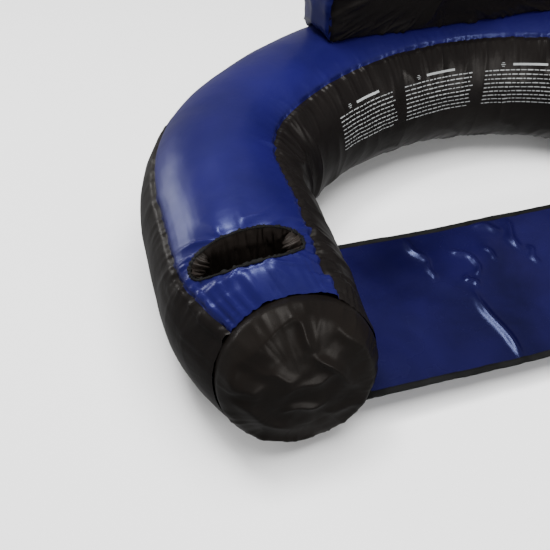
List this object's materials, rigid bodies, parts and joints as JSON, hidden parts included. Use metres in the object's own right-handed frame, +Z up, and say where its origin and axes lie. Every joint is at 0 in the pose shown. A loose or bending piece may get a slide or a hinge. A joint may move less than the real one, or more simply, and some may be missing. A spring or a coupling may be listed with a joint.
{
  "type": "inflatable pool float",
  "caption": "U-shaped inflatable pool lounge in a sewn fabric cover, with a sling seat between its arms, a boxed backrest and a cup pocket in each arm.",
  "frame": {"origin": "middle of the footprint, on the ground", "axes": "+X across the float to the sitter's left, +Y to the back, +Z up"},
  "size_m": [1.093, 0.733, 0.4905],
  "materials": {
    "bladder": "smooth welded PVC film",
    "blue_nylon": "satin coated nylon, royal blue",
    "black_nylon": "satin coated nylon, black",
    "navy_sling": "satin coated nylon, dark navy",
    "black_binding": "ribbed polyester binding",
    "valve_plastic": "fine matt",
    "valve_flap": "silicone, satin",
    "zipper_tape": "knitted tape",
    "zipper_teeth": "moulded acetal",
    "zipper_metal": "plated zinc"
  },
  "bodies": {
    "float": {"main_air_bladder": "bladder", "cover_top_panel": "blue_nylon", "cover_outer_side_panel": "black_nylon", "cover_inner_side_panel": "black_nylon", "cover_bottom_panel": "black_nylon", "right_end_cap": "black_nylon", "left_end_cap": "black_nylon", "right_cup_pocket": "black_nylon", "left_cup_pocket": "black_nylon", "right_cup_rim_binding": "black_binding", "left_cup_rim_binding": "black_binding", "seat_sling": "navy_sling", "sling_front_binding": "black_binding", "sling_rear_binding": "black_binding", "sling_right_hem": "black_binding", "sling_left_hem": "black_binding", "zipper_upper_tape": "zipper_tape", "zipper_lower_tape": "zipper_tape", "zipper_upper_teeth": "zipper_teeth", "zipper_lower_teeth": "zipper_teeth", "zipper_end_stops": "zipper_metal", "main_valve_base": "valve_plastic", "main_valve_insert": "valve_plastic", "main_valve_one_way_flap": "valve_flap", "backrest_base_strip": "black_binding"},
    "backrest": {"backrest_air_bladder": "bladder", "backrest_front_panel": "black_nylon", "backrest_rear_panel": "black_nylon", "backrest_gusset": "blue_nylon", "backrest_valve_base": "valve_plastic", "backrest_valve_insert": "valve_plastic", "backrest_valve_one_way_flap": "valve_flap"},
    "main_valve_cap": {"main_valve_cap": "valve_plastic"},
    "backrest_valve_cap": {"backrest_valve_cap": "valve_plastic"},
    "zipper_slider": {"zipper_slider": "zipper_metal"},
    "zipper_pull_tab": {"zipper_pull_tab": "zipper_metal"}
  },
  "joints": [
    {"name": "backrest_fold", "type": "hinge", "parent": "float", "child": "backrest", "pos_m": [0, 0.236, 0.3125], "axis": [-1, 0, 0], "range_deg": [-12, 28], "stiffness_Nm_per_rad": 12},
    {"name": "main_valve_cap_hinge", "type": "hinge", "parent": "float", "child": "main_valve_cap", "pos_m": [0.26313, 0.29887, 0.06044], "axis": [-0.1759, -0.4353, -0.8829], "range_deg": [0, 150]},
    {"name": "backrest_valve_cap_hinge", "type": "hinge", "parent": "backrest", "child": "backrest_valve_cap", "pos_m": [0.14, 0.3073, 0.3835], "axis": [1, 0, 0], "range_deg": [0, 150]},
    {"name": "zipper_slide", "type": "hinge", "parent": "float", "child": "zipper_slider", "pos_m": [0, -0.283, 0.05825], "axis": [0, 0, -1], "range_deg": [0, 33]},
    {"name": "zipper_pull_hinge", "type": "hinge", "parent": "zipper_slider", "child": "zipper_pull_tab", "pos_m": [-0.18679, 0.32797, 0.0549], "axis": [-0.1462, 0.4782, 0.866], "range_deg": [0, 150]}
  ]
}
